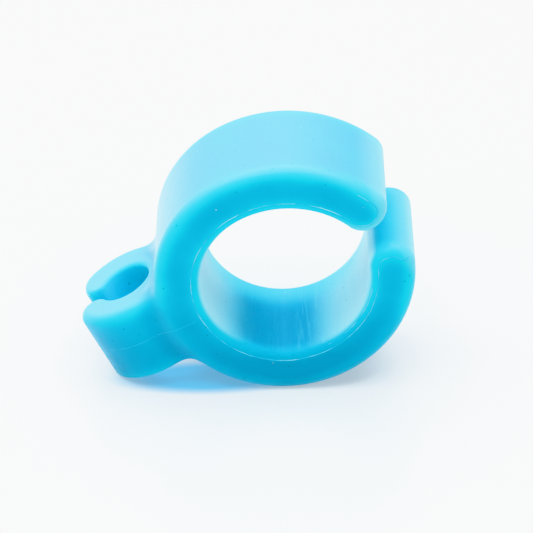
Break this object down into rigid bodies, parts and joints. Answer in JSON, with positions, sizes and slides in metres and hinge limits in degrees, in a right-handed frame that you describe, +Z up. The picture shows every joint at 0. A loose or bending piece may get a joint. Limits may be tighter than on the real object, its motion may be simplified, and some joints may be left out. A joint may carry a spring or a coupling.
{
  "type": "split finger ring with stick clip",
  "caption": "Soft split band that springs round a finger, with a small open clip on its back that grips a thin stick across the band; the band's arms and the clip's jaws flex.",
  "frame": {"origin": "centre of the footprint of the ring's box, on the surface it stands on", "axes": "+Z up as it stands on its band and clip, +Y along the finger hole away from the viewer, +X from the clip towards the split"},
  "size_m": [0.0382, 0.0142, 0.0292],
  "materials": {
    "silicone": "satin translucent cyan silicone"
  },
  "bodies": {
    "ring_back": {"band_back": "silicone", "clip_root": "silicone"},
    "upper_arm_root": {"upper_arm_root": "silicone"},
    "upper_arm_middle": {"upper_arm_middle": "silicone"},
    "upper_arm_tip": {"upper_arm_tip": "silicone"},
    "lower_arm_root": {"lower_arm_root": "silicone"},
    "lower_arm_middle": {"lower_arm_middle": "silicone"},
    "lower_arm_tip": {"lower_arm_tip": "silicone"},
    "front_jaw_root": {"front_jaw_root": "silicone"},
    "front_jaw_tip": {"front_jaw_tip": "silicone"},
    "rear_jaw_root": {"rear_jaw_root": "silicone"},
    "rear_jaw_tip": {"rear_jaw_tip": "silicone"}
  },
  "joints": [
    {"name": "upper_arm_open", "type": "hinge", "parent": "ring_back", "child": "upper_arm_root", "pos_m": [-0.00693, 0, 0.01874], "axis": [0, -1, 0], "range_deg": [-2.6, 10], "stiffness_Nm_per_rad": 0.063},
    {"name": "upper_arm_middle_bend", "type": "hinge", "parent": "upper_arm_root", "child": "upper_arm_middle", "pos_m": [-0.00197, 0, 0.02467], "axis": [0, -1, 0], "range_deg": [-1.7, 6.6]},
    {"name": "upper_arm_tip_bend", "type": "hinge", "parent": "upper_arm_middle", "child": "upper_arm_tip", "pos_m": [0.00686, 0, 0.02639], "axis": [0, -1, 0], "range_deg": [-0.7, 2.6]},
    {"name": "lower_arm_open", "type": "hinge", "parent": "ring_back", "child": "lower_arm_root", "pos_m": [0.0007, 0, 0.00314], "axis": [0, 1, 0], "range_deg": [-2.6, 10], "stiffness_Nm_per_rad": 0.063},
    {"name": "lower_arm_middle_bend", "type": "hinge", "parent": "lower_arm_root", "child": "lower_arm_middle", "pos_m": [0.00843, 0, 0.00342], "axis": [0, 1, 0], "range_deg": [-1.7, 6.6]},
    {"name": "lower_arm_tip_bend", "type": "hinge", "parent": "lower_arm_middle", "child": "lower_arm_tip", "pos_m": [0.01491, 0, 0.00908], "axis": [0, 1, 0], "range_deg": [-0.7, 2.6]},
    {"name": "front_jaw_open", "type": "hinge", "parent": "ring_back", "child": "front_jaw_root", "pos_m": [-0.01171, -0.00481, 0.00673], "axis": [-0.4398, 0, 0.8981], "range_deg": [-10, 25], "stiffness_Nm_per_rad": 0.024},
    {"name": "front_jaw_tip_bend", "type": "hinge", "parent": "front_jaw_root", "child": "front_jaw_tip", "pos_m": [-0.01424, -0.00414, 0.00549], "axis": [-0.4398, 0, 0.8981], "range_deg": [-4.6, 11.4]},
    {"name": "rear_jaw_open", "type": "hinge", "parent": "ring_back", "child": "rear_jaw_root", "pos_m": [-0.01171, 0.00481, 0.00673], "axis": [0.4398, 0, -0.8981], "range_deg": [-10, 25], "stiffness_Nm_per_rad": 0.024},
    {"name": "rear_jaw_tip_bend", "type": "hinge", "parent": "rear_jaw_root", "child": "rear_jaw_tip", "pos_m": [-0.01424, 0.00414, 0.00549], "axis": [0.4398, 0, -0.8981], "range_deg": [-4.6, 11.4]}
  ],
  "couplings": [
    {"joint": "upper_arm_middle_bend", "follows": "upper_arm_open", "ratio": 0.65},
    {"joint": "upper_arm_tip_bend", "follows": "upper_arm_open", "ratio": 0.25},
    {"joint": "lower_arm_middle_bend", "follows": "lower_arm_open", "ratio": 0.65},
    {"joint": "lower_arm_tip_bend", "follows": "lower_arm_open", "ratio": 0.25},
    {"joint": "front_jaw_tip_bend", "follows": "front_jaw_open", "ratio": 0.45},
    {"joint": "rear_jaw_tip_bend", "follows": "rear_jaw_open", "ratio": 0.45}
  ]
}
